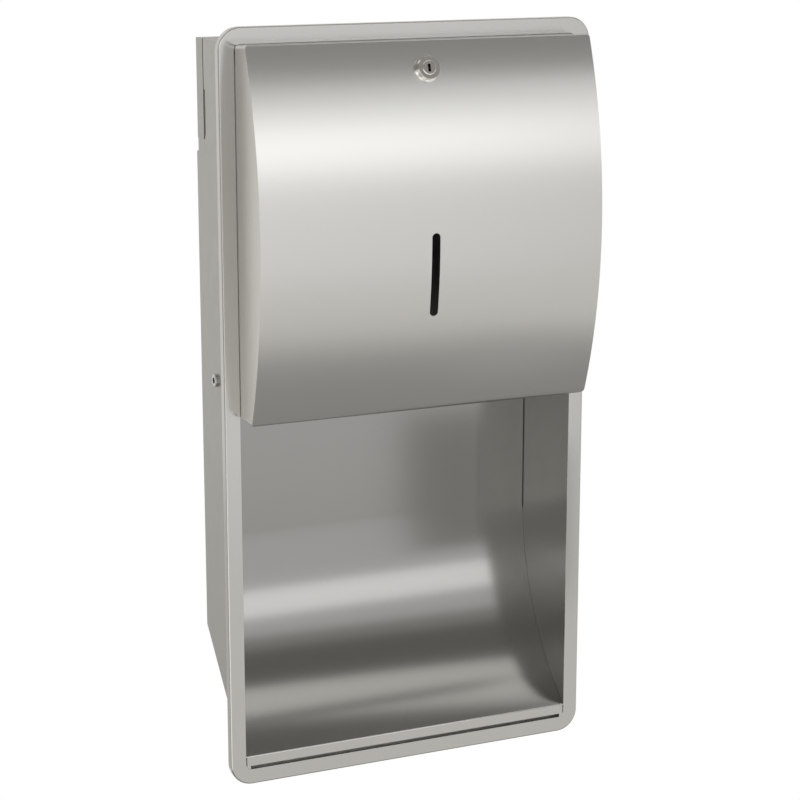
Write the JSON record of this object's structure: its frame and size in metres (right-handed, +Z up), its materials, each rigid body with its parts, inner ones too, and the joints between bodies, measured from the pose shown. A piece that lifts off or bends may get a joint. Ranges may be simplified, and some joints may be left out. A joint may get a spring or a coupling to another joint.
{
  "type": "recessed paper towel dispenser",
  "caption": "Recessed sheet-steel paper towel dispenser with a front frame, a curved collecting niche and a key-locked bulging hood that tips forward for filling.",
  "frame": {"origin": "middle of the front frame, on the plane where the frame's rim meets the wall", "axes": "+X along the wall to the right as seen from the front, +Y into the wall, +Z up"},
  "size_m": [0.35, 0.153, 0.675],
  "materials": {
    "satin_steel": "satin stainless steel, brushed upright",
    "casing_steel": "plain mill-finish stainless steel",
    "niche_steel": "satin stainless steel",
    "zinc_steel": "zinc-coated sheet steel",
    "lock_chrome": "bright nickel plating",
    "fastener_steel": "bright zinc-plated steel",
    "buffer_rubber": "matte black rubber",
    "bush_nylon": "natural nylon"
  },
  "bodies": {
    "housing": {"front_frame": "satin_steel", "casing_left": "casing_steel", "casing_right": "casing_steel", "casing_top": "casing_steel", "casing_back": "casing_steel", "gutter_strip": "casing_steel", "hanger_channel": "casing_steel", "chute_panel": "niche_steel", "dispensing_tray": "niche_steel", "tray_bracket_left": "zinc_steel", "tray_bracket_right": "zinc_steel", "tray_screws": "fastener_steel", "towel_guide_left": "zinc_steel", "towel_guide_right": "zinc_steel", "guide_rivets": "fastener_steel", "lock_keeper": "zinc_steel", "keeper_rivets": "fastener_steel", "buffer_brackets": "zinc_steel", "closing_buffers": "buffer_rubber", "stop_studs": "fastener_steel", "pivot_bolts": "fastener_steel", "pivot_washers": "fastener_steel", "pivot_nuts": "fastener_steel"},
    "hood": {"hood_panel": "satin_steel", "hood_cheek_left": "satin_steel", "hood_cheek_right": "satin_steel", "hinge_arm_left": "casing_steel", "hinge_arm_right": "casing_steel", "pivot_bushes": "bush_nylon", "lock_body": "lock_chrome", "lock_washer": "fastener_steel", "lock_nut": "fastener_steel"},
    "lock": {"lock_plug": "lock_chrome", "lock_cam": "fastener_steel", "cam_screw": "fastener_steel"}
  },
  "joints": [
    {"name": "hood_tilt", "type": "hinge", "parent": "housing", "child": "hood", "pos_m": [0, 0.048, 0.025], "axis": [1, 0, 0], "range_deg": [0, 70]},
    {"name": "lock_turn", "type": "hinge", "parent": "hood", "child": "lock", "pos_m": [0, -0.04206, 0.3], "axis": [0, 0.9527, -0.3039], "range_deg": [0, 90]}
  ]
}
